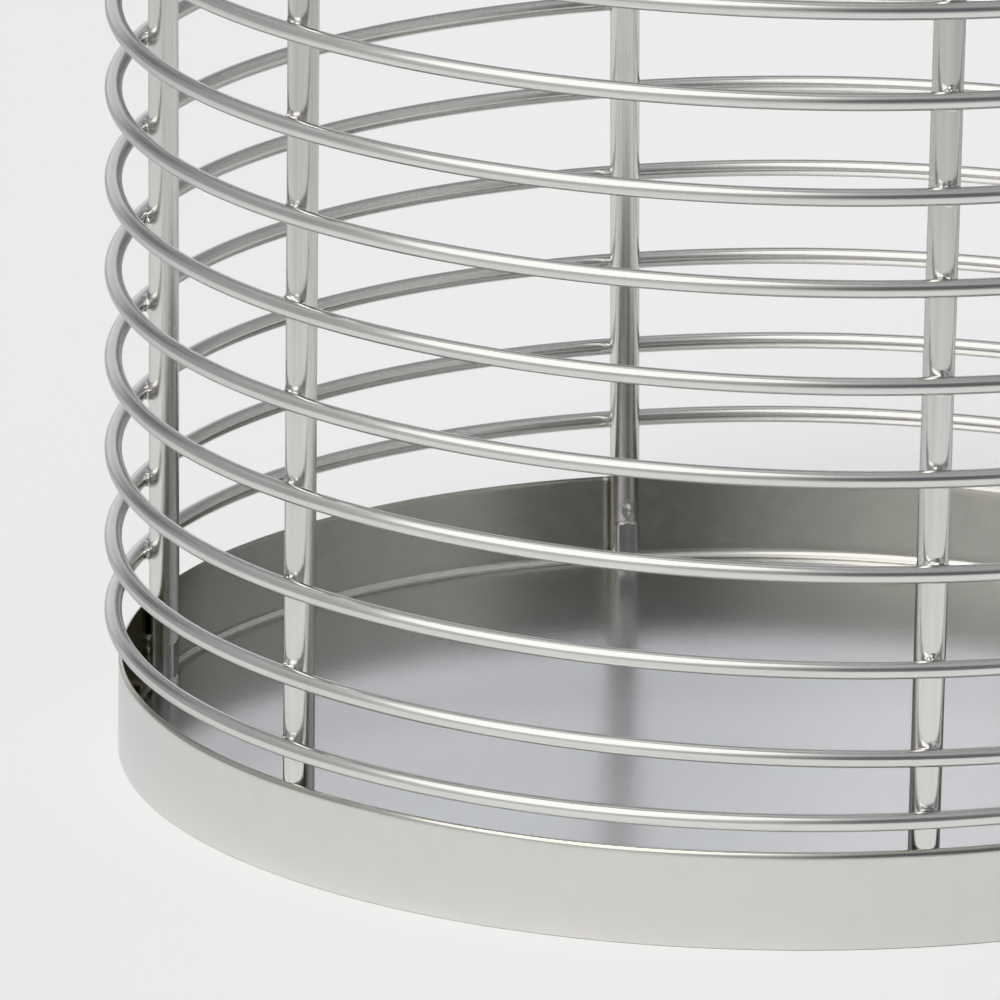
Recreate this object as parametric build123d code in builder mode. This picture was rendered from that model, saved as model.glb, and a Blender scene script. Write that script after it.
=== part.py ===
from build123d import *
import os
from math import sin, cos, tan, atan, atan2, degrees, radians, pi, sqrt

# Round utensil holder: a shallow pressed pan, upright posts standing inside its
# wall, and one long wire wound round the outside of the posts from the pan to
# the top ring and resistance-welded wherever it crosses a post.
#
# Millimetres, +Z up. The origin is the centre of the pan's underside.
# Bearings are measured from the front (-Y) and grow towards +X.

# ---- driving dimensions -----------------------------------------------------
HEIGHT = 168.0            # from the underside to the top of the rim ring

PAN_R = 75.0              # outside radius of the pan
PAN_H = 11.1              # height of the pan's wall
PAN_T = 0.45              # sheet thickness
PAN_CORNER = 0.2          # outside radius between wall and bottom, nearly sharp
PAN_FILLET = 0.5          # inside radius between wall and bottom
PAN_EDGE = 0.55           # radius to which tumbling has worn the wall's outer edge
PAN_EDGE_H = 0.48         # height over which that edge is rounded

POST_R = 1.75             # posts are drawn from 3.5 mm wire
POST_GAP = 0.02           # so that post and pan wall meet without overlapping
# bearing of each post half-way up its lowest 120 mm, and how far it leans
# along the ring, in degrees, as welded
POSTS = [
    (13.75, 0.69),
    (74.40, 0.40),
    (134.40, 0.40),
    (194.90, 0.69),
    (256.70, 0.69),
    (314.15, 0.11),
]
POST_REF_Z = 60.0
FLAT_Z = (2.6, 7.4)       # electrode flat where a post is spot-welded to the wall
FLAT_DEPTH = 0.32
DIMPLE_R = 0.62           # small crater just above that flat

WIRE_R = 1.0              # coil of 2 mm wire
WIRE_GAP = 0.04
SEAM = 74.4               # bearing at which the coil starts and ends
TAIL = 2.6                # the wire's ends run past their post by this angle
# height of the wire's centre each time it passes the seam post; the first turn
# rises less than the others
SEAM_Z = [14.60, 20.11, 30.14, 40.68, 51.48, 61.98, 72.89, 83.53,
          93.98, 103.70, 114.40, 125.11, 135.81, 146.52, 157.22]
SECTORS = 6               # arcs in one turn

RING_WIRE_R = 1.75        # the rim ring is as thick as the posts
COPE = 1.0                # a post's horns stop this far under the ring's centre

NUGGET_R = 0.75           # fused spot between coil and post
PAN_NUGGET_R = 0.36       # fused spot between post and pan wall
PAN_NUGGET_Z = 5.0

# ---- derived ----------------------------------------------------------------
PAN_INNER = PAN_R - PAN_T
POST_C = PAN_INNER - POST_GAP - POST_R          # radius on which the posts stand
COIL_R = POST_C + POST_R + WIRE_GAP + WIRE_R    # radius of the wire's centre
RING_Z = HEIGHT - RING_WIRE_R

os.makedirs("parts", exist_ok=True)


def on_ring(r, bearing, z):
    a = radians(bearing)
    return Vector(r * sin(a), -r * cos(a), z)


def post_line(bearing, lean):
    """A point on the post's axis at POST_REF_Z, and the axis direction."""
    a = radians(bearing)
    along = Vector(cos(a), sin(a), 0)           # grows with the bearing
    up = (Vector(0, 0, 1) + along * tan(radians(lean))).normalized()
    return on_ring(POST_C, bearing, POST_REF_Z), up


def bearing_at(bearing, lean, z):
    p, up = post_line(bearing, lean)
    q = p + up * ((z - POST_REF_Z) / up.Z)
    return degrees(atan2(q.X, -q.Y)) % 360.0


def wire_z(bearing, turn):
    """Height of the wire's centre at a bearing, in a turn counted from 0."""
    share = ((SEAM - bearing) % 360.0) / 360.0
    return SEAM_Z[turn] + share * (SEAM_Z[turn + 1] - SEAM_Z[turn])


# ---- the pan: one sheet, pressed, with its edge rounded over ------------------
with BuildPart() as base_pan:
    with BuildSketch(Plane.XZ):
        with BuildLine():
            Line((0, 0), (PAN_R - PAN_CORNER, 0))
            RadiusArc((PAN_R - PAN_CORNER, 0), (PAN_R, PAN_CORNER), -PAN_CORNER)
            Line((PAN_R, PAN_CORNER), (PAN_R, PAN_H - PAN_EDGE_H))
            lip = PAN_R - PAN_EDGE + sqrt(PAN_EDGE ** 2 - PAN_EDGE_H ** 2)
            RadiusArc((PAN_R, PAN_H - PAN_EDGE_H), (lip, PAN_H), -PAN_EDGE)
            RadiusArc((lip, PAN_H), (PAN_INNER, PAN_H - (lip - PAN_INNER)), PAN_INNER - lip)
            Line((PAN_INNER, PAN_H - (lip - PAN_INNER)), (PAN_INNER, PAN_T + PAN_FILLET))
            RadiusArc((PAN_INNER, PAN_T + PAN_FILLET), (PAN_INNER - PAN_FILLET, PAN_T), PAN_FILLET)
            Line((PAN_INNER - PAN_FILLET, PAN_T), (0, PAN_T))
            Line((0, PAN_T), (0, 0))
        make_face()
    revolve(axis=Axis.Z)
base_pan.part.label = "base_pan"
export_step(base_pan.part, "parts/base_pan.step")

# ---- the rim ring, closed by a butt weld -------------------------------------
with BuildPart() as rim_ring:
    with BuildSketch(Plane.XZ):
        with Locations((POST_C, RING_Z)):
            Circle(RING_WIRE_R)
    revolve(axis=Axis.Z)
rim_ring.part.label = "rim_ring"
export_step(rim_ring.part, "parts/rim_ring.step")

# ---- the posts: floor of the pan to the underside of the ring ----------------
for number, (bearing, lean) in enumerate(POSTS, start=1):
    base, up = post_line(bearing, lean)
    a = radians(bearing)
    inward = Vector(-sin(a), cos(a), 0)
    start = base - up * (base.Z / up.Z)
    with BuildPart() as post:
        with BuildSketch(Plane(origin=start, z_dir=up)):
            Circle(POST_R)
        extrude(amount=(RING_Z - COPE) / up.Z + 4.0)
        # trimmed to the pan's inside, rounded corner included, and to its
        # height under the ring
        with BuildSketch(Plane.XZ):
            with BuildLine():
                Line((0, PAN_T), (PAN_INNER - PAN_FILLET, PAN_T))
                RadiusArc((PAN_INNER - PAN_FILLET, PAN_T), (PAN_INNER, PAN_T + PAN_FILLET),
                          -PAN_FILLET)
                Line((PAN_INNER, PAN_T + PAN_FILLET), (PAN_INNER, RING_Z - COPE))
                Line((PAN_INNER, RING_Z - COPE), (0, RING_Z - COPE))
                Line((0, RING_Z - COPE), (0, PAN_T))
            make_face()
        revolve(axis=Axis.Z, mode=Mode.INTERSECT)
        # coped to sit against the ring
        with BuildSketch(Plane.XZ):
            with Locations((POST_C, RING_Z)):
                Circle(RING_WIRE_R)
        revolve(axis=Axis.Z, mode=Mode.SUBTRACT)
        # flat left by the welding electrode, and the crater above it
        low = bearing_at(bearing, lean, FLAT_Z[0])
        face_at = on_ring(POST_C - POST_R + FLAT_DEPTH, low, (FLAT_Z[0] + FLAT_Z[1]) / 2)
        with BuildSketch(Plane(origin=face_at, z_dir=inward, x_dir=(0, 0, 1))):
            Rectangle(FLAT_Z[1] - FLAT_Z[0], 2 * POST_R)
        extrude(amount=POST_R, mode=Mode.SUBTRACT)
        with Locations(on_ring(POST_C - POST_R - 0.28, low, FLAT_Z[1] + 0.9)):
            Sphere(DIMPLE_R, mode=Mode.SUBTRACT)
    post.part.label = f"post_{number}"
    export_step(post.part, f"parts/post_{number}.step")

# ---- the coil: one wire, cut into its turns at the seam post -----------------
# Each sixth of a turn is an exact circular arc in a slightly tilted plane. The
# arcs meet without a kink: their centres lie on the radial line through the
# middle of the arc, just past the holder's axis.
half = pi / SECTORS
for turn in range(len(SEAM_Z) - 1):
    rise = (SEAM_Z[turn + 1] - SEAM_Z[turn]) / SECTORS
    slope = atan(rise / (2 * COIL_R * sin(half)))
    offset = -COIL_R * cos(half) * tan(slope) ** 2
    reach = COIL_R * cos(half) - offset
    chord = COIL_R * sin(half) / cos(slope)
    sweep_angle = 2 * degrees(atan2(chord, reach))
    with BuildPart() as coil_turn:
        for sector in range(SECTORS):
            middle = SEAM - (sector + 0.5) * 360.0 / SECTORS
            b = radians(middle)
            out = Vector(sin(b), -cos(b), 0)
            onward = Vector(-cos(b), -sin(b), 0) * cos(slope) + Vector(0, 0, sin(slope))
            centre = out * offset + Vector(0, 0, SEAM_Z[turn] + (sector + 0.5) * rise)
            normal = out.cross(onward).normalized()
            before = TAIL if turn == 0 and sector == 0 else 0.0
            after = TAIL if turn == len(SEAM_Z) - 2 and sector == SECTORS - 1 else 0.0
            g = radians(sweep_angle / 2 + before)
            radius = sqrt(reach ** 2 + chord ** 2)
            first = centre + (out * cos(g) - onward * sin(g)) * radius
            heading = out * sin(g) + onward * cos(g)
            with BuildSketch(Plane(origin=first, z_dir=heading, x_dir=normal)):
                Circle(WIRE_R)
            revolve(axis=Axis(centre, normal),
                    revolution_arc=sweep_angle + before + after)
    coil_turn.part.label = f"coil_turn_{turn + 1:02d}"
    export_step(coil_turn.part, f"parts/coil_turn_{turn + 1:02d}.step")

# ---- weld nuggets ------------------------------------------------------------
# one where the wire crosses a post, and one where a post meets the rim ring
spots = []
for bearing, lean in POSTS:
    for turn in range(len(SEAM_Z) - 1):
        if abs(bearing - SEAM) < 1e-6 and turn > 0:
            z = SEAM_Z[turn]
        else:
            z = wire_z(bearing, turn)
            z = wire_z(bearing_at(bearing, lean, z), turn) if abs(bearing - SEAM) > 1e-6 else z
        spots.append(on_ring(POST_C + POST_R + WIRE_GAP / 2, bearing_at(bearing, lean, z), z))
    if abs(bearing - SEAM) < 1e-6:
        z = SEAM_Z[-1]
        spots.append(on_ring(POST_C + POST_R + WIRE_GAP / 2, bearing_at(bearing, lean, z), z))
    spots.append(on_ring(POST_C, bearing_at(bearing, lean, RING_Z), RING_Z - RING_WIRE_R))
with BuildPart() as coil_weld_nuggets:
    with Locations(*spots):
        Sphere(NUGGET_R)
coil_weld_nuggets.part.label = "coil_weld_nuggets"
export_step(coil_weld_nuggets.part, "parts/coil_weld_nuggets.step")

# one where each post is pressed against the pan's wall
with BuildPart() as pan_weld_nuggets:
    with Locations(*[on_ring(PAN_INNER - POST_GAP / 2,
                             bearing_at(bearing, lean, PAN_NUGGET_Z), PAN_NUGGET_Z)
                     for bearing, lean in POSTS]):
        Sphere(PAN_NUGGET_R)
pan_weld_nuggets.part.label = "pan_weld_nuggets"
export_step(pan_weld_nuggets.part, "parts/pan_weld_nuggets.step")
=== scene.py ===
import bpy
import numpy as np
from math import sin, cos, tan, radians, degrees, pi, sqrt, atan2
from mathutils import Matrix


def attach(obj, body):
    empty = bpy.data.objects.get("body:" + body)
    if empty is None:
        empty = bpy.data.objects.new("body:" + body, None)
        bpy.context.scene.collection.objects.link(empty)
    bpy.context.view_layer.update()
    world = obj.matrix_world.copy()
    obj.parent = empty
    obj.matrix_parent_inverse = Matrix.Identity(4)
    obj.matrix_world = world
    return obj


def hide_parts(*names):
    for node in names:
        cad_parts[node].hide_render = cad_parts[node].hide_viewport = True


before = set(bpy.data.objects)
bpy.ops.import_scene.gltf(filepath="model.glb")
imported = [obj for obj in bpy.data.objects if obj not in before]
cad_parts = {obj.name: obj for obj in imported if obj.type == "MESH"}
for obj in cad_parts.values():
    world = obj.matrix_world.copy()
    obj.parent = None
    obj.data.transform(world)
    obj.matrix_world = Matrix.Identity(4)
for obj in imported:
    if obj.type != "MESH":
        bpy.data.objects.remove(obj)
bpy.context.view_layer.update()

# =============================================================================
# Sizes in millimetres, the same as in the CAD. A bearing is measured from the
# front (-Y) and grows towards +X. The coil climbs clockwise seen from above, so
# the angle s along it grows as the bearing falls.
# =============================================================================
HEIGHT = 168.0
PAN_R = 75.0
PAN_H = 11.10
PAN_T = 0.45
PAN_CORNER = 0.20
PAN_FILLET = 1.00
PAN_DISH = 0.24                 # the floor rises this much towards the wall
POST_R = 1.75
POSTS = [(13.75, 0.69), (74.40, 0.40), (134.40, 0.40),
         (194.90, 0.69), (256.70, 0.69), (314.15, 0.11)]
POST_REF_Z = 60.0
WIRE_R = 1.0
WIRE_GAP = 0.04
SEAM = 74.4
TAIL = 2.6
PAN_INNER = PAN_R - PAN_T
POST_C = PAN_INNER - 0.02 - POST_R
COIL_R = POST_C + POST_R + WIRE_GAP + WIRE_R
RING_WIRE_R = 1.75
RING_Z = HEIGHT - RING_WIRE_R
TURNS = 14

# Height of the wire's centre every 45 degrees along the coil, from s = -45, as
# wound: the pitch is a little uneven and the wire rises more beside each post.
COIL_Z = [
    14.67, 14.84, 15.43, 16.50, 17.49, 18.14, 18.93, 19.80,
    20.81, 22.31, 23.80, 25.17, 26.40, 27.33, 28.51, 29.70,
    30.98, 32.32, 33.95, 35.61, 36.91, 37.83, 39.03, 40.24,
    41.57, 43.13, 44.81, 46.27, 47.71, 48.72, 49.83, 51.04,
    52.35, 53.77, 55.22, 56.63, 58.05, 59.07, 60.23, 61.51,
    62.87, 64.22, 65.73, 67.24, 68.63, 69.87, 71.15, 72.44,
    73.75, 75.06, 76.34, 77.85, 79.26, 80.62, 81.91, 83.12,
    84.25, 85.17, 86.29, 87.72, 89.18, 90.66, 92.12, 93.51,
    94.78, 95.75, 96.95, 98.20, 99.50, 100.75, 102.00, 103.27,
    104.50, 105.80]


def cubic_spline(x, y):
    """Natural cubic spline through the points, as a function."""
    x = np.asarray(x, float)
    y = np.asarray(y, float)
    n = len(x)
    h = np.diff(x)
    a = np.zeros((n, n))
    r = np.zeros(n)
    a[0, 0] = a[-1, -1] = 1.0
    for i in range(1, n - 1):
        a[i, i - 1], a[i, i], a[i, i + 1] = h[i - 1], 2 * (h[i - 1] + h[i]), h[i]
        r[i] = 6 * ((y[i + 1] - y[i]) / h[i] - (y[i] - y[i - 1]) / h[i - 1])
    m = np.linalg.solve(a, r)

    def at(q):
        q = np.asarray(q, float)
        i = np.clip(np.searchsorted(x, q) - 1, 0, n - 2)
        t = q - x[i]
        u = x[i + 1] - q
        return ((m[i] * u ** 3 + m[i + 1] * t ** 3) / (6 * h[i])
                + (y[i] / h[i] - m[i] * h[i] / 6) * u
                + (y[i + 1] / h[i] - m[i + 1] * h[i] / 6) * t)
    return at


_s = [-SEAM - TAIL, -SEAM] + [-45.0 + 45.0 * i for i in range(len(COIL_Z))]
_z = [14.595, 14.60] + COIL_Z
_last_s, _last_z = _s[-1], _z[-1]
_end_s, _end_z = -SEAM + 360.0 * TURNS, 157.22
_more = int(round((_end_s - _last_s) / 45.0))
_uneven = np.random.default_rng(5).normal(0.0, 0.10, _more)
for i in range(1, _more + 1):
    share = i / _more
    _s.append(_last_s + (_end_s - _last_s) * share)
    _z.append(_last_z + (_end_z - _last_z) * share + (_uneven[i - 1] if i < _more else 0.0))
_s.append(_end_s + TAIL)
_z.append(_end_z + 0.07)
coil_z = cubic_spline(_s, _z)
COIL_FROM, COIL_TO = -SEAM - TAIL, _end_s + TAIL


def post_frame(bearing, lean):
    """Axis point at POST_REF_Z, axis direction, outward and along directions."""
    a = radians(bearing)
    out = np.array([sin(a), -cos(a), 0.0])
    along = np.array([cos(a), sin(a), 0.0])
    up = np.array([0, 0, 1.0]) + along * tan(radians(lean))
    up /= np.linalg.norm(up)
    return out * POST_C + np.array([0, 0, POST_REF_Z]), up, out, along


def post_at(bearing, lean, z):
    p, up, out, along = post_frame(bearing, lean)
    return p + up * ((z - POST_REF_Z) / up[2])


# =============================================================================
# Mesh helpers
# =============================================================================
def new_object(name, verts, faces, material, smooth=True):
    me = bpy.data.meshes.new(name)
    verts = np.asarray(verts, float) * 0.001
    faces = [f.tolist() if hasattr(f, "tolist") else list(f) for f in faces]
    me.from_pydata(verts.tolist(), [], faces)
    me.validate()
    me.update()
    if smooth:
        me.polygons.foreach_set("use_smooth", np.ones(len(me.polygons), bool))
    ob = bpy.data.objects.new(name, me)
    bpy.context.scene.collection.objects.link(ob)
    me.materials.append(material)
    return ob


def set_uv(ob, per_vertex_uv, wrap_v=None):
    """UV from per-vertex values; where a face straddles the wrap, it is mended."""
    me = ob.data
    uv = me.uv_layers.new(name="run")
    li = np.zeros(len(me.loops), np.int32)
    me.loops.foreach_get("vertex_index", li)
    val = per_vertex_uv[li].copy()
    if wrap_v is not None:
        start = np.zeros(len(me.polygons), np.int32)
        total = np.zeros(len(me.polygons), np.int32)
        me.polygons.foreach_get("loop_start", start)
        me.polygons.foreach_get("loop_total", total)
        owner = np.repeat(np.arange(len(start)), total)
        hi = np.full(len(start), -1e9)
        np.maximum.at(hi, owner, val[:, 1])
        low = val[:, 1] < hi[owner] - wrap_v / 2
        val[low, 1] += wrap_v
    uv.data.foreach_set("uv", val.astype(np.float32).ravel())


def ring_faces(rows, sides, first=0):
    i = np.arange(rows - 1)[:, None]
    j = np.arange(sides)[None, :]
    k = (j + 1) % sides
    a = first + i * sides + j
    b = first + i * sides + k
    c = first + (i + 1) * sides + k
    d = first + (i + 1) * sides + j
    return np.stack([a, b, c, d], -1).reshape(-1, 4)


def grid_field(field, lo, hi, h):
    """Closed surface where field is 0, as (points, quads); inside is negative."""
    ax = [np.arange(lo[i], hi[i] + h * 0.5, h) for i in range(3)]
    x, y, z = np.meshgrid(*ax, indexing="ij")
    g = field(np.stack([x, y, z], -1).reshape(-1, 3)).reshape(x.shape)
    neg = g < 0
    shape = tuple(n - 1 for n in g.shape)
    pos = np.zeros(shape + (3,))
    cnt = np.zeros(shape)
    quads = []
    base = [x, y, z]
    crosses = []
    for axis in range(3):
        sl0 = [slice(None)] * 3
        sl1 = [slice(None)] * 3
        sl0[axis] = slice(None, -1)
        sl1[axis] = slice(1, None)
        ga, gb = g[tuple(sl0)], g[tuple(sl1)]
        cross = (ga < 0) != (gb < 0)
        t = np.where(cross, ga / np.where(cross, ga - gb, 1.0), 0.0)
        pt = np.stack([b[tuple(sl0)] for b in base], -1).astype(float)
        pt[..., axis] += t * h
        crosses.append((cross, ga < 0))
        o1, o2 = [a for a in range(3) if a != axis]
        for d1 in (0, 1):
            for d2 in (0, 1):
                sl = [slice(None)] * 3
                sl[o1] = slice(d1, g.shape[o1] - 1 + d1)
                sl[o2] = slice(d2, g.shape[o2] - 1 + d2)
                m = cross[tuple(sl)]
                pos[m] += pt[tuple(sl)][m]
                cnt[m] += 1
    used = cnt > 0
    index = np.full(shape, -1)
    index[used] = np.arange(used.sum())
    pts = pos[used] / cnt[used][:, None]
    for axis in range(3):
        cross, low_in = crosses[axis]
        o1, o2 = (axis + 1) % 3, (axis + 2) % 3
        e = np.argwhere(cross)
        ok = (e[:, o1] >= 1) & (e[:, o1] <= g.shape[o1] - 2) & (e[:, o2] >= 1) & (e[:, o2] <= g.shape[o2] - 2)
        e = e[ok]
        d1 = np.zeros(3, int)
        d2 = np.zeros(3, int)
        d1[o1] = 1
        d2[o2] = 1
        c00, c10, c11, c01 = e - d1 - d2, e - d2, e, e - d1
        q = np.stack([index[tuple(c.T)] for c in (c00, c10, c11, c01)], -1)
        inside_low = low_in[tuple(e.T)]
        q[~inside_low] = q[~inside_low][:, ::-1]
        quads.append(q)
    quads = np.concatenate(quads)
    eps = 1e-4
    for _ in range(3):
        f0 = field(pts)
        gr = np.stack([(field(pts + eps * np.eye(3)[i]) - field(pts - eps * np.eye(3)[i])) / (2 * eps)
                       for i in range(3)], -1)
        step = f0[:, None] * gr / np.maximum((gr ** 2).sum(-1), 0.05)[:, None]
        n = np.linalg.norm(step, axis=1)
        step *= np.minimum(1.0, 0.5 * h / np.maximum(n, 1e-9))[:, None]
        pts = pts - step
    return pts, quads


def smooth_min(a, b, k):
    h = np.maximum(k - np.abs(a - b), 0.0) / k
    return np.minimum(a, b) - h ** 3 * k / 6.0


def ripple(seed, scale, count=14):
    """Smooth pseudo-random field of unit size, features about `scale` mm."""
    rng = np.random.default_rng(seed)
    w = rng.normal(size=(count, 3))
    w /= np.linalg.norm(w, axis=1)[:, None]
    w *= (2 * pi / scale) * rng.uniform(0.6, 1.5, (count, 1))
    ph = rng.uniform(0, 2 * pi, count)
    amp = rng.uniform(0.5, 1.0, count)
    amp /= sqrt((amp ** 2).sum() / 2)

    def at(p):
        return (np.sin(p @ w.T + ph) * amp).sum(-1)
    return at


# =============================================================================
# Materials: satin plated steel, all procedural
# =============================================================================
def node(nt, kind, **values):
    n = nt.nodes.new(kind)
    for key, value in values.items():
        if key.startswith("in_"):
            name = key[3:]
            n.inputs[int(name) if name.isdigit() else name.replace("_", " ")].default_value = value
        else:
            setattr(n, key, value)
    return n


def base_material(name, edge=None):
    mat = bpy.data.materials.new(name)
    mat.use_nodes = True
    nt = mat.node_tree
    bsdf = nt.nodes["Principled BSDF"]
    bsdf.inputs["Metallic"].default_value = 1.0
    bsdf.inputs["Specular Tint"].default_value = edge or EDGE
    return mat, nt, bsdf


def link(nt, a, b):
    nt.links.new(a, b)


METAL = (0.738, 0.729, 0.702)
EDGE = (0.62, 0.63, 0.65, 1.0)     # nickel reflects less just short of grazing


def tinted(f, warm=1.0):
    return (METAL[0] * f, METAL[1] * f, METAL[2] * f / warm, 1.0)


def wire_material():
    mat, nt, bsdf = base_material("plated_wire")
    uv = node(nt, "ShaderNodeUVMap", uv_map="run")
    geo = node(nt, "ShaderNodeTexCoord")
    # drawing lines: long fine streaks that run with the wire
    stretch = node(nt, "ShaderNodeMapping", vector_type="POINT")
    stretch.inputs["Scale"].default_value = (12.0, 2600.0, 1.0)
    link(nt, uv.outputs["UV"], stretch.inputs["Vector"])
    lines = node(nt, "ShaderNodeTexNoise", noise_dimensions="2D")
    lines.inputs["Scale"].default_value = 1.0
    lines.inputs["Detail"].default_value = 3.0
    lines.inputs["Roughness"].default_value = 0.6
    link(nt, stretch.outputs["Vector"], lines.inputs["Vector"])
    # plating grain
    grain = node(nt, "ShaderNodeTexNoise")
    grain.inputs["Scale"].default_value = 4200.0
    grain.inputs["Detail"].default_value = 2.0
    link(nt, geo.outputs["Object"], grain.inputs["Vector"])
    # broad cloudiness of the plating
    cloud = node(nt, "ShaderNodeTexNoise")
    cloud.inputs["Scale"].default_value = 130.0
    cloud.inputs["Detail"].default_value = 3.0
    link(nt, geo.outputs["Object"], cloud.inputs["Vector"])
    tone = node(nt, "ShaderNodeValToRGB")
    tone.color_ramp.elements[0].position = 0.3
    tone.color_ramp.elements[0].color = tinted(0.91)
    tone.color_ramp.elements[1].position = 0.7
    tone.color_ramp.elements[1].color = tinted(1.06)
    some = node(nt, "ShaderNodeMath", operation="MULTIPLY")
    some.inputs[1].default_value = 0.35
    link(nt, cloud.outputs["Fac"], some.inputs[0])
    mixed = node(nt, "ShaderNodeMath", operation="MULTIPLY_ADD")
    mixed.inputs[1].default_value = 0.65
    link(nt, lines.outputs["Fac"], mixed.inputs[0])
    link(nt, some.outputs[0], mixed.inputs[2])
    link(nt, mixed.outputs[0], tone.inputs["Fac"])
    link(nt, tone.outputs["Color"], bsdf.inputs["Base Color"])
    rough = node(nt, "ShaderNodeMapRange")
    rough.inputs["From Min"].default_value = 0.3
    rough.inputs["From Max"].default_value = 0.7
    rough.inputs["To Min"].default_value = 0.17
    rough.inputs["To Max"].default_value = 0.24
    link(nt, lines.outputs["Fac"], rough.inputs["Value"])
    link(nt, rough.outputs["Result"], bsdf.inputs["Roughness"])
    b1 = node(nt, "ShaderNodeBump")
    b1.inputs["Strength"].default_value = 0.5
    b1.inputs["Distance"].default_value = 0.000032
    link(nt, lines.outputs["Fac"], b1.inputs["Height"])
    b2 = node(nt, "ShaderNodeBump")
    b2.inputs["Strength"].default_value = 0.3
    b2.inputs["Distance"].default_value = 0.000008
    link(nt, grain.outputs["Fac"], b2.inputs["Height"])
    link(nt, b1.outputs["Normal"], b2.inputs["Normal"])
    link(nt, b2.outputs["Normal"], bsdf.inputs["Normal"])
    return mat


def weld_material():
    mat, nt, bsdf = base_material("plated_weld")
    geo = node(nt, "ShaderNodeTexCoord")
    lump = node(nt, "ShaderNodeTexNoise")
    lump.inputs["Scale"].default_value = 1500.0
    lump.inputs["Detail"].default_value = 3.0
    link(nt, geo.outputs["Object"], lump.inputs["Vector"])
    tone = node(nt, "ShaderNodeValToRGB")
    tone.color_ramp.elements[0].position = 0.3
    tone.color_ramp.elements[0].color = tinted(0.93)
    tone.color_ramp.elements[1].position = 0.7
    tone.color_ramp.elements[1].color = tinted(1.02)
    link(nt, lump.outputs["Fac"], tone.inputs["Fac"])
    link(nt, tone.outputs["Color"], bsdf.inputs["Base Color"])
    rough = node(nt, "ShaderNodeMapRange")
    rough.inputs["From Min"].default_value = 0.3
    rough.inputs["From Max"].default_value = 0.7
    rough.inputs["To Min"].default_value = 0.13
    rough.inputs["To Max"].default_value = 0.22
    link(nt, lump.outputs["Fac"], rough.inputs["Value"])
    link(nt, rough.outputs["Result"], bsdf.inputs["Roughness"])
    b = node(nt, "ShaderNodeBump")
    b.inputs["Strength"].default_value = 0.25
    b.inputs["Distance"].default_value = 0.00003
    link(nt, lump.outputs["Fac"], b.inputs["Height"])
    link(nt, b.outputs["Normal"], bsdf.inputs["Normal"])
    return mat


def pan_material(name, tint, rough_from, rough_to, warm=1.0, edge=None, satin=0.0, haze=0.0, relief=1.0):
    mat, nt, bsdf = base_material(name, edge)
    bsdf.inputs["Coat Weight"].default_value = haze
    bsdf.inputs["Coat Roughness"].default_value = 0.30
    bsdf.inputs["Coat IOR"].default_value = 1.85
    geo = node(nt, "ShaderNodeTexCoord")
    grain = node(nt, "ShaderNodeTexNoise")
    grain.inputs["Scale"].default_value = 3000.0
    grain.inputs["Detail"].default_value = 2.5
    grain.inputs["Roughness"].default_value = 0.6
    link(nt, geo.outputs["Object"], grain.inputs["Vector"])
    mottle = node(nt, "ShaderNodeTexNoise")
    mottle.inputs["Scale"].default_value = 420.0
    mottle.inputs["Detail"].default_value = 4.0
    link(nt, geo.outputs["Object"], mottle.inputs["Vector"])
    cloud = node(nt, "ShaderNodeTexNoise")
    cloud.inputs["Scale"].default_value = 45.0
    cloud.inputs["Detail"].default_value = 2.0
    link(nt, geo.outputs["Object"], cloud.inputs["Vector"])
    both = node(nt, "ShaderNodeMath", operation="MULTIPLY_ADD")
    both.inputs[1].default_value = 0.5
    link(nt, mottle.outputs["Fac"], both.inputs[0])
    half = node(nt, "ShaderNodeMath", operation="MULTIPLY")
    half.inputs[1].default_value = 0.5
    link(nt, cloud.outputs["Fac"], half.inputs[0])
    link(nt, half.outputs[0], both.inputs[2])
    tone = node(nt, "ShaderNodeValToRGB")
    # the colour's brightness and warmth come from the arguments; the inner wall and floor copies use them to paint
    # shade and light
    tone.color_ramp.elements[0].position = 0.35
    tone.color_ramp.elements[0].color = tinted(0.975 * tint, warm)
    tone.color_ramp.elements[1].position = 0.65
    tone.color_ramp.elements[1].color = tinted(1.015 * tint, warm)
    link(nt, both.outputs[0], tone.inputs["Fac"])
    link(nt, tone.outputs["Color"], bsdf.inputs["Base Color"])
    rough = node(nt, "ShaderNodeMapRange")
    rough.inputs["From Min"].default_value = 0.35
    rough.inputs["From Max"].default_value = 0.65
    rough.inputs["To Min"].default_value = rough_from
    rough.inputs["To Max"].default_value = rough_to
    link(nt, both.outputs[0], rough.inputs["Value"])
    if satin:
        # more satin when looked at steeply, glossier at a low angle
        facing = node(nt, "ShaderNodeLayerWeight")
        facing.inputs["Blend"].default_value = 0.5
        steep = node(nt, "ShaderNodeMapRange", interpolation_type="SMOOTHSTEP")
        steep.inputs["From Min"].default_value = 0.15
        steep.inputs["From Max"].default_value = 0.66
        steep.inputs["To Min"].default_value = satin
        steep.inputs["To Max"].default_value = 0.0
        link(nt, facing.outputs["Facing"], steep.inputs["Value"])
        total = node(nt, "ShaderNodeMath", operation="ADD")
        link(nt, rough.outputs["Result"], total.inputs[0])
        link(nt, steep.outputs["Result"], total.inputs[1])
        link(nt, total.outputs[0], bsdf.inputs["Roughness"])
    else:
        link(nt, rough.outputs["Result"], bsdf.inputs["Roughness"])
    b1 = node(nt, "ShaderNodeBump")
    b1.inputs["Strength"].default_value = 0.3 * relief
    b1.inputs["Distance"].default_value = 0.00001
    link(nt, grain.outputs["Fac"], b1.inputs["Height"])
    b2 = node(nt, "ShaderNodeBump")
    b2.inputs["Strength"].default_value = 0.3 * relief
    b2.inputs["Distance"].default_value = 0.000016
    link(nt, mottle.outputs["Fac"], b2.inputs["Height"])
    link(nt, b1.outputs["Normal"], b2.inputs["Normal"])
    link(nt, b2.outputs["Normal"], bsdf.inputs["Normal"])
    return mat


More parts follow.
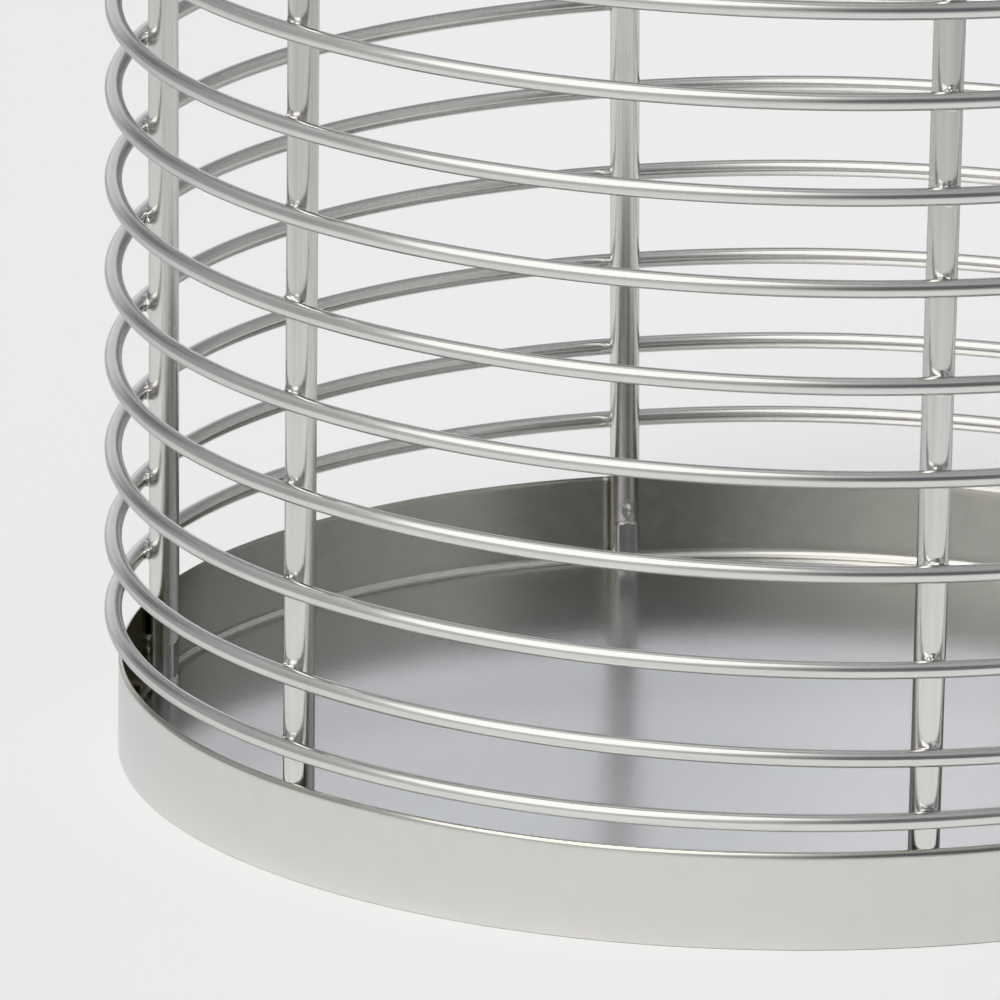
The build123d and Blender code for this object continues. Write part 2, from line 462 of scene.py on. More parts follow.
WIRE = wire_material()
WELD = weld_material()
# three copies of one plated sheet: the inner wall's copy is darker and warmer, painted shade inside the pan; the
# floor's copy is a touch brighter and cooler, painted light
SHEET = pan_material("plated_sheet", 0.97, 0.285, 0.335, 1.0, (0.87, 0.89, 0.92, 1.0), 0.0, 0.0, 0.8)
SHEET_WALL_PAINTED_SHADE = pan_material("plated_sheet_inner_wall_painted_shade", 0.87, 0.15, 0.19, 1.055, (0.63, 0.625, 0.625, 1.0), 0.0, 0.0, 0.55)
SHEET_FLOOR_PAINTED_LIGHT = pan_material("plated_sheet_floor_painted_light", 1.00, 0.18, 0.21, 0.965, (0.62, 0.632, 0.662, 1.0), 0.26, 0.8, 0.7)

pieces = []


def keep(ob, slot, *nodes):
    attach(ob, "root")
    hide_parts(*nodes)
    pieces.append(ob)
    return ob


# =============================================================================
# Coil: one wire from end to end
# =============================================================================
def coil():
    sides = 32
    per_turn = 300
    n = int((COIL_TO - COIL_FROM) / 360.0 * per_turn) + 1
    s = np.linspace(COIL_FROM, COIL_TO, n)
    z = coil_z(s)
    b = np.radians(-s)
    c = np.stack([COIL_R * np.sin(b), -COIL_R * np.cos(b), z], -1)
    t = np.gradient(c, axis=0)
    t /= np.linalg.norm(t, axis=1)[:, None]
    out = np.stack([np.sin(b), -np.cos(b), np.zeros_like(b)], -1)
    up = np.cross(out, t)
    up *= np.sign(up[:, 2])[:, None]
    up /= np.linalg.norm(up, axis=1)[:, None]
    length = np.concatenate([[0], np.cumsum(np.linalg.norm(np.diff(c, axis=0), axis=1))])
    a = np.linspace(0, 2 * pi, sides, endpoint=False)
    # sheared ends, slightly rounded: rows (offset along the wire, radius)
    round_ = 0.22
    q = np.linspace(0, pi / 2, 6)
    head = [(-0.0 - round_ * (1 - sin(w)) * 0 - round_ * cos(w), WIRE_R - round_ * (1 - sin(w))) for w in q]
    rows, uv = [], []

    def row(centre, tt, oo, uu, r, dist):
        p = centre + np.cos(a)[:, None] * oo * r + np.sin(a)[:, None] * uu * r
        rows.append(p)
        uv.append(np.stack([np.full(sides, dist), a * WIRE_R], -1) * 0.001)

    for off, r in head[:-1]:
        row(c[0] + t[0] * (off + round_), t[0], out[0], up[0], r, off)
    for i in range(n):
        if round_ < length[i] < length[-1] - round_ or len(rows) == len(head) - 1:
            row(c[i], t[i], out[i], up[i], WIRE_R, length[i])
    for off, r in head[::-1]:
        row(c[-1] - t[-1] * (off + round_), t[-1], out[-1], up[-1], r, length[-1] - off)
    rows = np.array(rows)
    m = len(rows)
    verts = rows.reshape(-1, 3)
    uv = np.array(uv).reshape(-1, 2)
    faces = list(ring_faces(m, sides))
    # decide the orientation once: outward normals
    f = faces[len(faces) // 2]
    p = verts[f]
    nrm = np.cross(p[1] - p[0], p[2] - p[0])
    mid_row = int(f[0]) // sides
    cen = rows[mid_row].mean(0)
    if np.dot(nrm, p.mean(0) - cen) < 0:
        faces = [x[::-1] for x in faces]
        caps = [list(range(sides)), [(m - 1) * sides + j for j in range(sides)][::-1]]
    else:
        caps = [list(range(sides))[::-1], [(m - 1) * sides + j for j in range(sides)]]
    ob = new_object("coil_wire", verts, faces + caps, WIRE)
    set_uv(ob, uv, wrap_v=2 * pi * WIRE_R * 0.001)
    return keep(ob, "wire", *[f"coil_turn_{i:02d}" for i in range(1, TURNS + 1)])


# =============================================================================
# Posts: drawn wire with the marks of spot welding low down on the inner side
# =============================================================================
def post(number, bearing, lean):
    p0, up, out, along = post_frame(bearing, lean)
    sides = 72
    ri = PAN_FILLET
    foot = floor_height(POST_C)
    zs = np.concatenate([np.arange(foot + 0.30, 12.0, 0.16), np.arange(12.0, RING_Z - 1.2, 1.5), [RING_Z - 1.1]])
    a = np.linspace(0, 2 * pi, sides, endpoint=False)
    rng = np.random.default_rng(40 + number)
    flat_lo, flat_hi = 1.6 + rng.uniform(-0.2, 0.2), 6.4 + rng.uniform(-0.3, 0.3)
    dimple_z = 7.8 + rng.uniform(-0.2, 0.2)
    dimple_x = rng.uniform(-0.15, 0.15)
    flat_depth = 0.34 + rng.uniform(-0.04, 0.04)
    rows, uv = [], []
    # a = 0 points inward
    inward = -out

    def section(z, r_scale):
        c = p0 + up * ((z - POST_REF_Z) / up[2])
        u = np.cos(a) * POST_R * r_scale          # along inward
        v = np.sin(a) * POST_R * r_scale          # along the ring
        # electrode flat, with soft edges
        k = np.clip((z - flat_lo) / 0.5, 0, 1) * np.clip((flat_hi - z) / 0.35, 0, 1)
        k = k * k * (3 - 2 * k)
        limit = POST_R * 1.02 - (flat_depth + 0.05) * k
        over = np.maximum(u - limit, 0)
        bulge = 0.07 * k * np.exp(-((u - limit) / 0.35) ** 2) * np.sign(v)
        u = np.where(u > limit, limit + 0.04 * np.tanh(over / 0.04) * (1 - k), u)
        v = v + bulge
        # crater just above it, with a raised lip
        d = np.hypot((v - dimple_x) / 0.62, (z - dimple_z) / 0.95)
        front = np.clip(np.cos(a), 0, 1)
        u = u - 0.20 * np.exp(-(d / 0.62) ** 3) * front + 0.05 * np.exp(-((d - 1.05) / 0.28) ** 2) * front
        return c + np.outer(u, inward) + np.outer(v, along)

    # foot, edge rounded
    for k, rs in ((0.0, 0.72), (0.07, 0.84), (0.16, 0.93), (0.24, 0.98)):
        rows.append(section(foot + 0.01 + k, rs))
        uv.append(np.stack([np.full(sides, k), a * POST_R], -1) * 0.001)
    for z in zs:
        rows.append(section(z, 1.0))
        uv.append(np.stack([np.full(sides, z), a * POST_R], -1) * 0.001)
    rows = np.array(rows)
    # stay inside the pan's rounded corner
    low = rows[:3 + 12]
    rr = np.hypot(low[..., 0], low[..., 1])
    zz = low[..., 2]
    allowed = PAN_INNER - 0.01 - (ri - np.sqrt(np.maximum(ri ** 2 - (ri - np.clip(zz - foot, 0, ri)) ** 2, 0)))
    f = np.minimum(1.0, allowed / rr)
    low[..., 0] *= f
    low[..., 1] *= f
    m = len(rows)
    verts = rows.reshape(-1, 3)
    faces = list(ring_faces(m, sides))
    fc = faces[len(faces) // 2]
    p = verts[fc]
    nrm = np.cross(p[1] - p[0], p[2] - p[0])
    cen = rows[int(fc[0]) // sides].mean(0)
    top = [(m - 1) * sides + j for j in range(sides)]
    if np.dot(nrm, p.mean(0) - cen) < 0:
        faces = [x[::-1] for x in faces]
        caps = [list(range(sides)), top[::-1]]
    else:
        caps = [list(range(sides))[::-1], top]
    ob = new_object(f"upright_{number}", verts, faces + caps, WIRE)
    set_uv(ob, np.array(uv).reshape(-1, 2), wrap_v=2 * pi * POST_R * 0.001)
    ob.data.set_sharp_from_angle(angle=radians(50))
    return keep(ob, "wire", f"post_{number}")


# =============================================================================
# Rim ring, closed by a butt weld behind the back post
# =============================================================================
def ring():
    sides, n = 48, 480
    b = np.linspace(0, 2 * pi, n, endpoint=False)
    a = np.linspace(0, 2 * pi, sides, endpoint=False)
    joint = radians(163.0)
    d = (b - joint + pi) % (2 * pi) - pi
    arc = np.abs(d) * POST_C
    swell = 0.16 * np.exp(-(arc / 0.55) ** 2) * (0.7 + 0.3 * np.cos(9 * b)) - 0.05 * np.exp(-((arc - 1.3) / 0.5) ** 2)
    # the bent ring is not perfectly round, but it is drawn round here
    rad = POST_C + 0.0 * b
    rows, uv = [], []
    for i in range(n):
        out = np.array([sin(b[i]), -cos(b[i]), 0])
        r = RING_WIRE_R + min(0.0, swell[i]) + max(0.0, swell[i]) * (0.5 + 0.5 * np.cos(a - pi))
        r = np.minimum(r, RING_WIRE_R + 0.2)
        zz = RING_Z + np.sin(a) * r
        zz = np.minimum(zz, HEIGHT)
        rr = rad[i] + np.cos(a) * r
        rows.append(out[None, :] * rr[:, None] + np.array([0, 0, 1.0])[None, :] * zz[:, None])
        uv.append(np.stack([np.full(sides, b[i] * POST_C), a * RING_WIRE_R], -1) * 0.001)
    rows = np.array(rows)
    verts = rows.reshape(-1, 3)
    i = np.arange(n)[:, None]
    j = np.arange(sides)[None, :]
    i2, j2 = (i + 1) % n, (j + 1) % sides
    q = np.stack([i * sides + j, i * sides + j2, i2 * sides + j2, i2 * sides + j], -1).reshape(-1, 4)
    p = verts[q[0]]
    nrm = np.cross(p[1] - p[0], p[2] - p[0])
    if np.dot(nrm, p.mean(0) - rows[0].mean(0)) < 0:
        q = q[:, ::-1]
    ob = new_object("top_ring", verts, list(q), WIRE)
    set_uv(ob, np.array(uv).reshape(-1, 2), wrap_v=2 * pi * RING_WIRE_R * 0.001)
    return keep(ob, "wire", "rim_ring")


# =============================================================================
# Pan
# =============================================================================
def floor_height(r):
    # the pressed floor is flat in the middle and lifts a little to the wall
    k = max(r - 30.0, 0.0) / (PAN_INNER - PAN_FILLET - 30.0)
    return PAN_T + PAN_DISH * k * k


def pan():
    seg = 900
    th = np.linspace(0, 2 * pi, seg, endpoint=False)
    wob = 0.035 * np.sin(3 * th + 0.7) + 0.02 * np.sin(7 * th + 2.1) + 0.012 * np.sin(17 * th)
    # tumbling has worn the cut edge round: wide outside, narrow inside, and a
    # little uneven round the pan
    edge = 0.47 + 0.05 * np.sin(2 * th + 1.9) + 0.04 * np.sin(5 * th + 0.4) + 0.015 * np.sin(23 * th + 1.0)
    top = PAN_H + 0.03 * np.sin(2 * th + 0.3) + 0.015 * np.sin(9 * th + 1.1)
    tall = 1.7 * edge
    lip = 0.06
    ri = PAN_FILLET
    one = np.ones(seg)
    prof = []                                   # (radius, height) all round, for each row
    for r in (6, 12, 20, 30, 40, 50, 58, 64, 68, 71, 73, 73.9):
        prof.append((r * one, 0.0 * one))
    for w in np.linspace(-pi / 2, 0, 7):
        prof.append(((PAN_R - PAN_CORNER + PAN_CORNER * cos(w)) * one,
                     (PAN_CORNER + PAN_CORNER * sin(w)) * one))
    for t in np.linspace(0, 1, 12)[1:]:
        prof.append((PAN_R * one, PAN_CORNER + (top - tall - PAN_CORNER) * t))
    for w in np.linspace(0, pi / 2, 21)[1:]:
        prof.append((PAN_R - edge + edge * cos(w), top - tall + tall * sin(w)))
    for w in np.linspace(pi / 2, pi, 7)[1:]:
        prof.append((PAN_R - edge + lip * cos(w), top - lip + lip * sin(w)))
    # the tumbled edge takes the inner wall's material, so it also gets the inner wall's painted shade
    inside_from = len(prof) - 22                # the tumbled edge is as glossy as the inside
    for t in np.linspace(0, 1, 8)[1:]:
        k = t * t * (3 - 2 * t)
        prof.append(((PAN_R - edge - lip) * (1 - k) + PAN_INNER * k, top - lip - 0.55 * t))
    low = top - lip - 0.55
    wall_to = floor_height(PAN_INNER - ri) + ri
    for t in np.linspace(0, 1, 10)[1:]:
        prof.append((PAN_INNER * one, low + (wall_to - low) * t))
    for w in np.linspace(0, -pi / 2, 11)[1:]:
        prof.append(((PAN_INNER - ri + ri * cos(w)) * one, (wall_to + ri * sin(w)) * one))
        if len(prof) and w > -pi / 4:
            floor_from = len(prof)
    for r in (73.4, 73.0, 72.3, 71.4, 70.2, 68.8, 67.2, 65.4, 63.4, 61, 58.5, 56, 53.5, 51, 48, 45, 42, 39, 36, 33, 30, 20, 12, 6):
        prof.append((r * one, floor_height(r) * one))
    rows = []
    for r, z in prof:
        f = np.clip(z / PAN_H, 0, 1) * np.clip((r - 60) / 12, 0, 1)
        rr = r - 0.04 * f + wob * f * 0.6
        rows.append(np.stack([rr * np.sin(th), -rr * np.cos(th), z], -1))
    rows = np.array(rows)
    verts = np.concatenate([rows.reshape(-1, 3), [[0, 0, 0.0], [0, 0, PAN_T]]])
    m = len(rows)
    faces = ring_faces(m, seg)
    c0, c1 = m * seg, m * seg + 1
    k = np.arange(seg)
    fan0 = np.stack([np.full(seg, c0), (k + 1) % seg, k], -1)
    fan1 = np.stack([np.full(seg, c1), (m - 1) * seg + k, (m - 1) * seg + (k + 1) % seg], -1)
    # outward test on a face of the outer wall
    p = verts[faces[22 * seg]]
    nrm = np.cross(p[1] - p[0], p[2] - p[0])
    if np.dot(nrm[:2], p.mean(0)[:2]) < 0:
        faces, fan0, fan1 = faces[:, ::-1], fan0[:, ::-1], fan1[:, ::-1]
    ob = new_object("pan", verts, list(faces) + list(fan0) + list(fan1), SHEET)
    ob.data.materials.append(SHEET_WALL_PAINTED_SHADE)
    ob.data.materials.append(SHEET_FLOOR_PAINTED_LIGHT)
    which = np.zeros(len(ob.data.polygons), np.int32)
    which[inside_from * seg:floor_from * seg] = 1
    which[floor_from * seg:len(faces)] = 2
    which[len(faces) + seg:] = 2
    ob.data.polygons.foreach_set("material_index", which)
    return keep(ob, "pan_sheet", "base_pan")


# =============================================================================
# Weld metal where the coil crosses a post: the fillet between the two round
# surfaces, found as a smooth union of both, with small lumps and beads
# =============================================================================
def weld_master(seed, k, beads):
    low = ripple(seed, 1.5)
    fine = ripple(seed + 100, 0.7)
    rng = np.random.default_rng(seed)
    balls = []
    for _ in range(beads):
        side = rng.choice([-1, 1])
        x = rng.uniform(-0.8, 0.8)
        z = side * rng.uniform(1.05, 1.4)
        y = -1.77 + sqrt(max(POST_R ** 2 - x * x, 0.0)) - 0.03
        balls.append((x, y, z, rng.uniform(0.10, 0.17)))
    e = 0.02

    def field(p):
        x, y, z = p[:, 0], p[:, 1], p[:, 2]
        dp = np.sqrt(x ** 2 + (y + 1.77) ** 2) - POST_R
        dw = np.sqrt((y - 1.02 + x ** 2 / (2 * COIL_R)) ** 2 + z ** 2) - WIRE_R
        kk = k * (1.0 + 0.14 * low(p))
        a, b = dp + e, dw + e
        h = np.maximum(kk - np.abs(a - b), 0.0) / kk
        f = np.minimum(a, b) - h ** 3 * kk / 6.0
        near = np.exp(-((dp ** 2 + dw ** 2) / 0.5 ** 2))
        f = f - 0.030 * near * fine(p)
        for bx, by, bz, br in balls:
            f = smooth_min(f, np.sqrt((x - bx) ** 2 + (y - by) ** 2 + (z - bz) ** 2) - br, 0.25)
        box = np.maximum(np.maximum(np.abs(x) - 2.35, np.abs(z) - 2.5), -(y + 1.1))
        return np.maximum(f, box)
    return grid_field(field, (-2.6, -1.4, -2.8), (2.6, 2.3, 2.8), 0.12)


def crossings():
    """(post index, point where post and wire touch, tangent, outward, axis)."""
    found = []
    for n, (bearing, lean) in enumerate(POSTS):
        p0, up, out0, along0 = post_frame(bearing, lean)
        for turn in range(TURNS + 1):
            s = -bearing + 360.0 * turn if bearing <= SEAM + 1e-6 else -bearing + 360.0 * (turn + 1)
            for _ in range(6):
                z = float(coil_z(s))
                q = post_at(bearing, lean, z)
                bb = degrees(atan2(q[0], -q[1])) % 360.0
                s += ((-bb - s + 180.0) % 360.0) - 180.0
            if not COIL_FROM + 0.5 < s < COIL_TO - 0.5:
                continue
            bq = radians(-s)
            out = np.array([sin(bq), -cos(bq), 0])
            ds = 0.05
            zc = float(coil_z(s))
            t = np.array([COIL_R * sin(radians(-s - ds)), -COIL_R * cos(radians(-s - ds)), float(coil_z(s + ds))]) \
                - np.array([COIL_R * sin(radians(-s + ds)), -COIL_R * cos(radians(-s + ds)), float(coil_z(s - ds))])
            t /= np.linalg.norm(t)
            touch = out * (COIL_R - WIRE_R - WIRE_GAP / 2) + np.array([0, 0, zc])
            found.append((n, touch, t, out, up))
    return found


def welds():
    masters = [weld_master(11, 1.30, 0), weld_master(12, 1.15, 1), weld_master(13, 1.45, 0),
               weld_master(14, 1.25, 1), weld_master(15, 1.35, 0), weld_master(16, 1.20, 2)]
    rng = np.random.default_rng(77)
    verts, faces, at = [], [], 0
    for n, touch, t, out, up in crossings():
        pts, quads = masters[rng.integers(len(masters))]
        flip_x = rng.random() < 0.5
        x = pts[:, 0] * (-1 if flip_x else 1)
        # x along the wire, y outward, z along the post
        p = touch + np.outer(x, -t) + np.outer(pts[:, 1], out) + np.outer(pts[:, 2], up)
        # -t, out, up is right-handed when t points clockwise; a flip turns it over
        hand = np.dot(np.cross(-t, out), up) * (-1 if flip_x else 1)
        q = quads if hand > 0 else quads[:, ::-1]
        verts.append(p)
        faces.append(q + at)
        at += len(p)
    ob = new_object("coil_welds", np.concatenate(verts), list(np.concatenate(faces)), WELD)
    return keep(ob, "weld_metal", "coil_weld_nuggets")


def ring_welds():
    """Fillet where a post's end meets the ring; the beads where a post meets the pan come from pan_welds."""
    e = 0.004

    def field(p):
        x, y, z = p[:, 0], p[:, 1], p[:, 2]         # x along the ring, y outward, z up; ring centre at 0
        dp = np.maximum(np.sqrt(x ** 2 + y ** 2) - POST_R, z - 0.2)
        dr = np.sqrt((y + x ** 2 / (2 * POST_C)) ** 2 + z ** 2) - RING_WIRE_R
        f = smooth_min(dp + e, dr + e, 1.5)
        f = f - 0.03 * np.exp(-(dp ** 2 + dr ** 2) / 0.5 ** 2) * bump(p)
        box = np.maximum(np.maximum(np.abs(x) - 2.6, -z - 3.6), z - 0.9)
        return np.maximum(f, box)
    bump = ripple(31, 0.9)
    pts, quads = grid_field(field, (-2.9, -2.3, -3.9), (2.9, 2.3, 1.2), 0.14)
    verts, faces, at = [], [], 0
    for n, (bearing, lean) in enumerate(POSTS):
        q = post_at(bearing, lean, RING_Z)
        b = atan2(q[0], -q[1])
        out = np.array([sin(b), -cos(b), 0])
        along = np.array([cos(b), sin(b), 0])
        up = post_frame(bearing, lean)[1]
        c = out * POST_C + np.array([0, 0, RING_Z])
        p = c + np.outer(pts[:, 0], along) + np.outer(pts[:, 1], out) + np.outer(pts[:, 2], up)
        hand = np.dot(np.cross(along, out), up)
        verts.append(p)
        faces.append((quads if hand > 0 else quads[:, ::-1]) + at)
        at += len(p)
    return np.concatenate(verts), np.concatenate(faces)


def pan_welds():
    """Squeezed-out metal along the line where a post is welded to the pan's wall."""
    verts, faces, at = [], [], 0
    for n, (bearing, lean) in enumerate(POSTS):
        lump = ripple(50 + n, 1.6)
        rng = np.random.default_rng(60 + n)
        beads = [(rng.uniform(-2.0, 2.0), rng.uniform(0.1, 2.4), rng.uniform(0.16, 0.3)) for _ in range(5)]

        def field(p, lump=lump, beads=beads):
            x, y, z = p[:, 0], p[:, 1], p[:, 2]      # y outward, post's axis at 0
            dp = np.sqrt(x ** 2 + y ** 2) - POST_R + 0.01
            wall = PAN_INNER - POST_C
            dw = (wall - x ** 2 / (2 * PAN_INNER)) - y + 0.01
            kk = 0.75 * (1 + 0.35 * lump(p))
            h = np.maximum(kk - np.abs(dp - dw), 0) / kk
            f = np.minimum(dp, dw) - h ** 3 * kk / 6
            for bx, bz, br in beads:
                by = wall - bx ** 2 / (2 * PAN_INNER) - br * 0.3
                f = smooth_min(f, np.sqrt((x - bx) ** 2 + (y - by) ** 2 + (z - bz) ** 2) - br, 0.2)
            thick = y - (wall - x ** 2 / (2 * PAN_INNER)) - 0.2
            box = np.maximum.reduce([np.abs(x) - 2.2 + 0.02 * z, 0.75 - z, z - 6.6 - 0.4 * lump(p), -y - 0.2, thick])
            return np.maximum(f, box)
        pts, quads = grid_field(field, (-2.6, -0.5, 0.2), (2.6, 2.3, 7.8), 0.15)
        q = post_at(bearing, lean, 4.0)
        b = atan2(q[0], -q[1])
        out = np.array([sin(b), -cos(b), 0])
        along = np.array([cos(b), sin(b), 0])
        p = np.outer(pts[:, 0], along) + np.outer(pts[:, 1] + POST_C, out) + np.outer(pts[:, 2], [0, 0, 1.0])
        hand = np.dot(np.cross(along, out), [0, 0, 1.0])
        verts.append(p)
        faces.append((quads if hand > 0 else quads[:, ::-1]) + at)
        at += len(p)
    ob = new_object("pan_welds", np.concatenate(verts), list(np.concatenate(faces)), WELD)
    return keep(ob, "weld_metal", "pan_weld_nuggets")


coil()
for _n, (_b, _l) in enumerate(POSTS, start=1):
    post(_n, _b, _l)
ring()
pan()
welds()
_v, _f = ring_welds()
ring_weld = new_object("ring_welds", _v, list(_f), WELD)
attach(ring_weld, "root")
pan_welds()


# =============================================================================
# Floor, light and camera
# =============================================================================
def floor():
    size = 6.0
    me = bpy.data.meshes.new("floor")
    me.from_pydata([(-size, -size, 0), (size, -size, 0), (size, size, 0), (-size, size, 0)], [], [(0, 1, 2, 3)])
    me.update()
    ob = bpy.data.objects.new("floor", me)
    bpy.context.scene.collection.objects.link(ob)
    mat = bpy.data.materials.new("floor")
    mat.use_nodes = True
    nt = mat.node_tree
    bsdf = nt.nodes["Principled BSDF"]
    bsdf.inputs["Roughness"].default_value = 0.7
    bsdf.inputs["Specular IOR Level"].default_value = 0.0
    # pale paper with painted shade in its colour: darker far out in front and to the sides, and a little just left of
    # the pan, standing in for light falling off
    tc = node(nt, "ShaderNodeTexCoord")
    place = node(nt, "ShaderNodeMapping", vector_type="TEXTURE")
    place.inputs["Location"].default_value = (0.10, 0.90, 0.0)
    place.inputs["Scale"].default_value = (1.10, 1.0, 1.0)
    link(nt, tc.outputs["Object"], place.inputs["Vector"])
    dist = node(nt, "ShaderNodeVectorMath", operation="LENGTH")
    link(nt, place.outputs["Vector"], dist.inputs[0])
    # painted light falloff: the floor colour darkens with distance out in front
    painted_light_falloff = node(nt, "ShaderNodeMapRange", interpolation_type="SMOOTHSTEP")
    painted_light_falloff.inputs["From Min"].default_value = 0.97
    painted_light_falloff.inputs["From Max"].default_value = 1.50
    painted_light_falloff.inputs["To Min"].default_value = 0.94
    painted_light_falloff.inputs["To Max"].default_value = 0.64
    link(nt, dist.outputs["Value"], painted_light_falloff.inputs["Value"])
    sides = node(nt, "ShaderNodeSeparateXYZ")
    link(nt, tc.outputs["Object"], sides.inputs[0])
    # painted shade far out to the left
    left = node(nt, "ShaderNodeMapRange", interpolation_type="SMOOTHSTEP")
    left.inputs["From Min"].default_value = -0.42
    left.inputs["From Max"].default_value = -0.13
    left.inputs["To Min"].default_value = 0.86
    left.inputs["To Max"].default_value = 1.0
    link(nt, sides.outputs["X"], left.inputs["Value"])
    # painted shade on the floor just left of the pan
    near = node(nt, "ShaderNodeMapRange", interpolation_type="SMOOTHSTEP")
    near.inputs["From Min"].default_value = -0.085
    near.inputs["From Max"].default_value = -0.025
    near.inputs["To Min"].default_value = 0.955
    near.inputs["To Max"].default_value = 1.0
    link(nt, sides.outputs["X"], near.inputs["Value"])
    # painted shade out to the right
    right = node(nt, "ShaderNodeMapRange", interpolation_type="SMOOTHSTEP")
    right.inputs["From Min"].default_value = 0.10
    right.inputs["From Max"].default_value = 0.45
    right.inputs["To Min"].default_value = 1.0
    right.inputs["To Max"].default_value = 0.64
    link(nt, sides.outputs["X"], right.inputs["Value"])
    painted_side_shade = node(nt, "ShaderNodeMath", operation="MULTIPLY")
    link(nt, right.outputs["Result"], painted_side_shade.inputs[0])
    link(nt, left.outputs["Result"], painted_side_shade.inputs[1])
    both = node(nt, "ShaderNodeMath", operation="MULTIPLY")
    link(nt, near.outputs["Result"], both.inputs[0])
    link(nt, painted_side_shade.outputs[0], both.inputs[1])
    painted_floor_shade = node(nt, "ShaderNodeMath", operation="MULTIPLY")
    link(nt, painted_light_falloff.outputs["Result"], painted_floor_shade.inputs[0])
    link(nt, both.outputs[0], painted_floor_shade.inputs[1])
    painted_shade_colour = node(nt, "ShaderNodeCombineColor")
    for k in range(3):
        link(nt, painted_floor_shade.outputs[0], painted_shade_colour.inputs[k])
    link(nt, painted_shade_colour.outputs["Color"], bsdf.inputs["Base Color"])
    me.materials.append(mat)
    return ob


floor()


def direction(az, el):
    """World direction; azimuth 0 is the front (-Y), 90 is +X."""
    a, e = radians(az), radians(el)
    return (sin(a) * cos(e), -cos(a) * cos(e), sin(e))


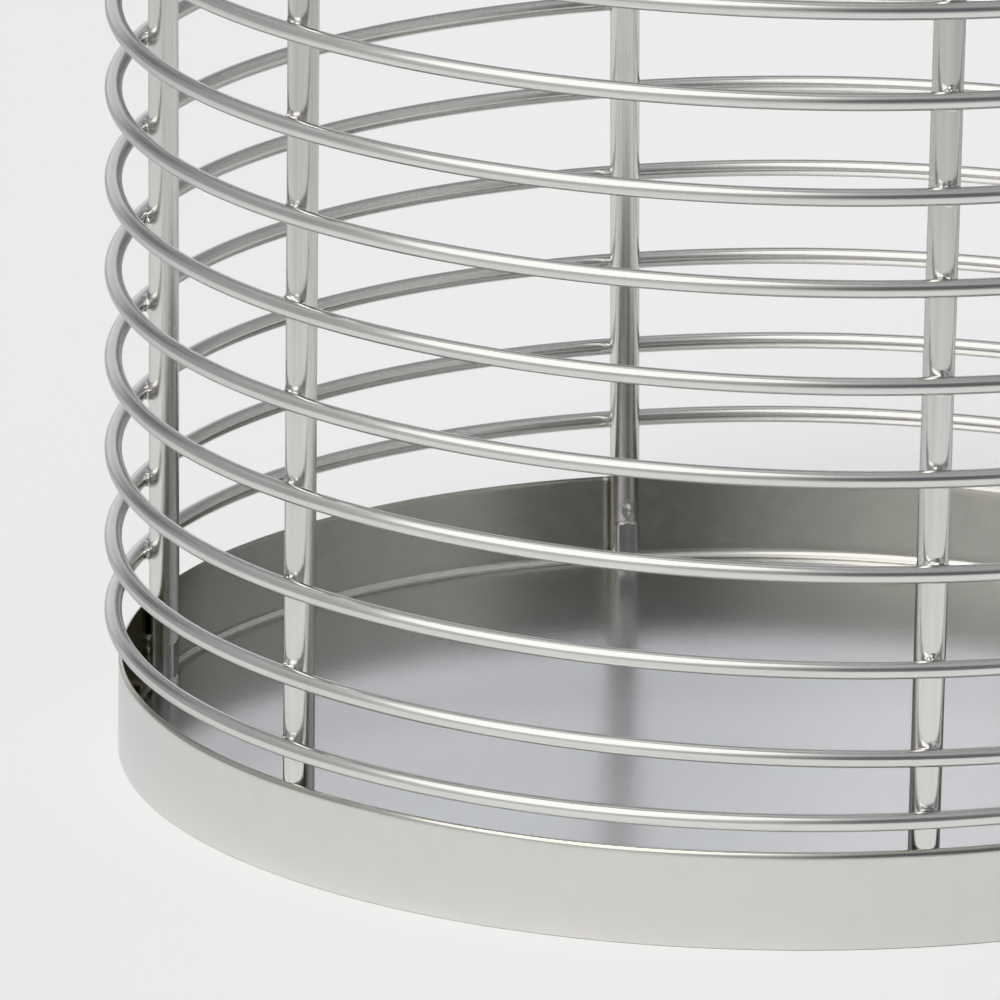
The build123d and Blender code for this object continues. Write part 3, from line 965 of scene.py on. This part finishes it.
def studio():
    world = bpy.data.worlds.new("studio")
    bpy.context.scene.world = world
    world.use_nodes = True
    nt = world.node_tree
    for n in list(nt.nodes):
        nt.nodes.remove(n)
    out = node(nt, "ShaderNodeOutputWorld")
    bg = node(nt, "ShaderNodeBackground")
    link(nt, bg.outputs[0], out.inputs[0])
    tc = node(nt, "ShaderNodeTexCoord")
    colour = None

    def mask(az, el, half_w, half_h, soft, power=4.0):
        """Soft-edged panel seen from the object: 1 inside, 0 outside."""
        d = np.array(direction(az, el))
        right = np.cross(d, (0, 0, 1.0))
        right /= np.linalg.norm(right)
        up = np.cross(right, d)
        res = []
        for axis in (d, right, up):
            v = node(nt, "ShaderNodeVectorMath", operation="DOT_PRODUCT")
            link(nt, tc.outputs["Generated"], v.inputs[0])
            v.inputs[1].default_value = tuple(axis)
            res.append(v.outputs["Value"])
        angle = []
        for k, half in ((1, half_w), (2, half_h)):
            at = node(nt, "ShaderNodeMath", operation="ARCTAN2")
            link(nt, res[k], at.inputs[0])
            link(nt, res[0], at.inputs[1])
            ab = node(nt, "ShaderNodeMath", operation="ABSOLUTE")
            link(nt, at.outputs[0], ab.inputs[0])
            dv = node(nt, "ShaderNodeMath", operation="DIVIDE")
            link(nt, ab.outputs[0], dv.inputs[0])
            dv.inputs[1].default_value = radians(half)
            pw = node(nt, "ShaderNodeMath", operation="POWER")
            link(nt, dv.outputs[0], pw.inputs[0])
            pw.inputs[1].default_value = power
            angle.append(pw.outputs[0])
        add = node(nt, "ShaderNodeMath", operation="ADD")
        link(nt, angle[0], add.inputs[0])
        link(nt, angle[1], add.inputs[1])
        root = node(nt, "ShaderNodeMath", operation="POWER")
        link(nt, add.outputs[0], root.inputs[0])
        root.inputs[1].default_value = 1.0 / power
        mr = node(nt, "ShaderNodeMapRange", interpolation_type="SMOOTHSTEP")
        s = soft / (0.5 * (half_w + half_h))
        mr.inputs["From Min"].default_value = 1.0 + s
        mr.inputs["From Max"].default_value = 1.0 - s
        mr.inputs["To Min"].default_value = 0.0
        mr.inputs["To Max"].default_value = 1.0
        link(nt, root.outputs[0], mr.inputs["Value"])
        return mr.outputs["Result"]

    def paint(below, fac, rgb):
        mx = node(nt, "ShaderNodeMix", data_type="RGBA")
        link(nt, fac, mx.inputs["Factor"])
        if below is None:
            mx.inputs["A"].default_value = BASE
        else:
            link(nt, below, mx.inputs[6])
        mx.inputs[7].default_value = (*rgb, 1.0)
        return mx.outputs[2]

    def base_colour(rgb):
        mx = node(nt, "ShaderNodeMix", data_type="RGBA")
        mx.inputs[0].default_value = 0.0
        mx.inputs[6].default_value = (*rgb, 1.0)
        return mx.outputs[2]

    c = base_colour((0.465, 0.475, 0.49))
    # the room to the right, and a dark gap front right
    c = paint(c, mask(77, 35, 42, 40, 14, 3.0), (0.505, 0.52, 0.54))
    c = paint(c, mask(28, 19, 21, 24, 10, 3.0), (0.19, 0.197, 0.209))
    # large soft panel overhead towards the back left, and what it lights below
    c = paint(c, mask(-140, 53, 28, 13, 12, 3.0), (0.62, 0.625, 0.635))
    c = paint(c, mask(-135, 77, 20, 12, 11, 3.0), (0.84, 0.84, 0.835))
    c = paint(c, mask(-105, 72, 38, 15, 14, 3.0), (1.00, 0.997, 0.985))
    # the ceiling behind the object is darker down to the backdrop
    c = paint(c, mask(165, 46, 24, 20, 10, 4.0), (0.40, 0.405, 0.42))
    c = paint(c, mask(-150, 24, 18, 11, 8, 3.0), (0.25, 0.255, 0.265))
    c = paint(c, mask(148.5, 19, 14.5, 17, 7, 3.0), (0.24, 0.245, 0.255))
    c = paint(c, mask(181, 0, 32, 21, 5, 8.0), (1.00, 1.015, 1.035))
    c = paint(c, mask(184, 10, 15, 12, 6, 4.0), (1.16, 1.185, 1.215))
    c = paint(c, mask(181, 1, 26, 9, 5, 4.0), (1.32, 1.34, 1.37))
    # main soft box, in front, to the left and above, with its halo and the
    # glow below it
    c = paint(c, mask(-44, 8, 27, 17, 9, 3.0), (0.68, 0.68, 0.68))
    c = paint(c, mask(-35, 46, 30, 28, 12, 3.0), (0.93, 0.93, 0.92))
    c = paint(c, mask(-41.5, 52.5, 19.2, 19.8, 9, 3.5), (5.05, 5.03, 4.98))
    link(nt, c, bg.inputs["Color"])
    bg.inputs["Strength"].default_value = 0.98
    return world


studio()


def camera():
    cam = bpy.data.cameras.new("camera")
    cam.sensor_width = 36.0
    cam.sensor_fit = "HORIZONTAL"
    cam.lens = 448.75
    cam.clip_start = 0.05
    cam.clip_end = 50.0
    ob = bpy.data.objects.new("camera", cam)
    right = np.array([0.99962765, 0.02569861, 0.00917312])
    up = np.array([-0.01599009, 0.27928577, 0.96007488])
    forward = np.array([-0.02211066, 0.95986407, -0.27959270])
    m = np.eye(4)
    m[:3, 0], m[:3, 1], m[:3, 2] = right, up, -forward
    m[:3, 3] = (0.0, -1.3661277, 0.4267460)
    ob.matrix_world = Matrix(m.tolist())
    bpy.context.scene.collection.objects.link(ob)
    bpy.context.scene.camera = ob


camera()

scene = bpy.context.scene
scene.view_settings.view_transform = "Khronos PBR Neutral"
scene.view_settings.look = "None"
scene.view_settings.exposure = 0.0
scene.view_settings.gamma = 1.0
scene.cycles.max_bounces = 16
scene.cycles.glossy_bounces = 12
scene.cycles.diffuse_bounces = 4
scene.cycles.sample_clamp_indirect = 2.5
